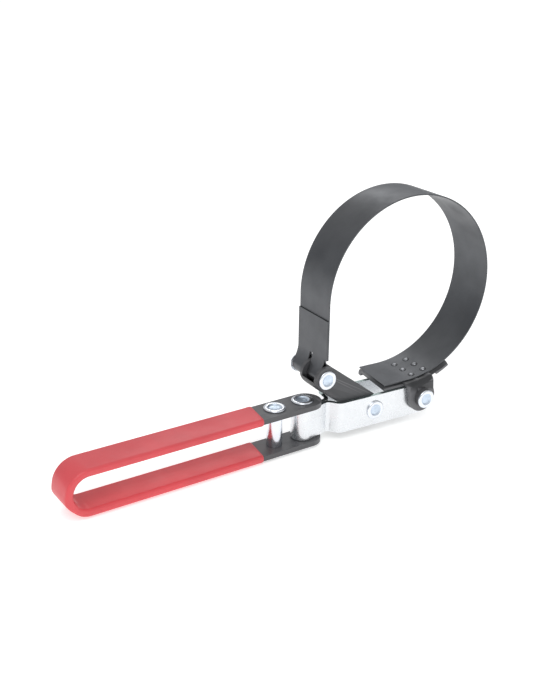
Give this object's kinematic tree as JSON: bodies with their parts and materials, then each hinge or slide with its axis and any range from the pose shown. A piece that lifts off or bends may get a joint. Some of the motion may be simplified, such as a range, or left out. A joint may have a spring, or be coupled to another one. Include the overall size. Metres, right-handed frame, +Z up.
{
  "type": "oil filter wrench",
  "caption": "Swivel-handle band wrench: a spring-steel band on a riveted over-centre linkage grips a round canister when its looped, vinyl-coated strap handle is pulled.",
  "frame": {"origin": "centre of the open band, on its axis and at the middle of its width", "axes": "+Y along the band's axis, away from the near rivet heads; +X along the yoke arms, away from the handle; +Z up, from the yoke to the top of the band"},
  "size_m": [0.29, 0.047, 0.1474],
  "materials": {
    "red_vinyl": "dip-moulded vinyl coat, satin gloss",
    "black_strap": "black painted steel strap, semi-gloss",
    "zinc": "bright zinc-plated rivets and sleeves",
    "zinc_yoke": "bright zinc-plated strip",
    "black_steel": "satin black stamped steel",
    "band_steel": "dark blued spring-steel strip",
    "weld_steel": "spot-weld marks"
  },
  "bodies": {
    "ring_side": {"bracket": "black_steel", "band_fixed": "band_steel", "weld_buttons": "weld_steel", "bracket_rivet": "zinc", "near_collar": "black_steel", "far_collar": "black_steel", "arm_spacer": "zinc"},
    "band_end": {"band_moving": "band_steel"},
    "yoke": {"yoke": "zinc_yoke", "yoke_rivet": "zinc"},
    "link": {"link": "black_steel", "link_sleeve": "zinc", "link_rivet": "zinc"},
    "handle": {"handle_strap": "black_strap", "handle_grip": "red_vinyl", "swivel_rivet": "zinc", "spacer_sleeve": "zinc", "spacer_rivet": "zinc"}
  },
  "joints": [
    {"name": "yoke_swing", "type": "hinge", "parent": "ring_side", "child": "yoke", "pos_m": [0.0094, -0.0066, -0.0703], "axis": [0, -1, 0], "range_deg": [0, 18]},
    {"name": "link_swing", "type": "hinge", "parent": "yoke", "child": "link", "pos_m": [-0.025, -0.0066, -0.0724], "axis": [0, -1, 0], "range_deg": [-28, 0]},
    {"name": "band_flex", "type": "hinge", "parent": "ring_side", "child": "band_end", "pos_m": [0.02032, 0, 0.05582], "axis": [0, -1, 0], "range_deg": [0, 3.9]},
    {"name": "handle_swivel", "type": "hinge", "parent": "yoke", "child": "handle", "pos_m": [-0.0729, -0.0098, -0.0727], "axis": [0, 0, 1], "range_deg": [-113.5, 106.5]}
  ],
  "couplings": [
    {"joint": "link_swing", "follows": "yoke_swing", "ratio": -1.5425},
    {"joint": "band_flex", "follows": "yoke_swing", "ratio": 0.2098}
  ]
}
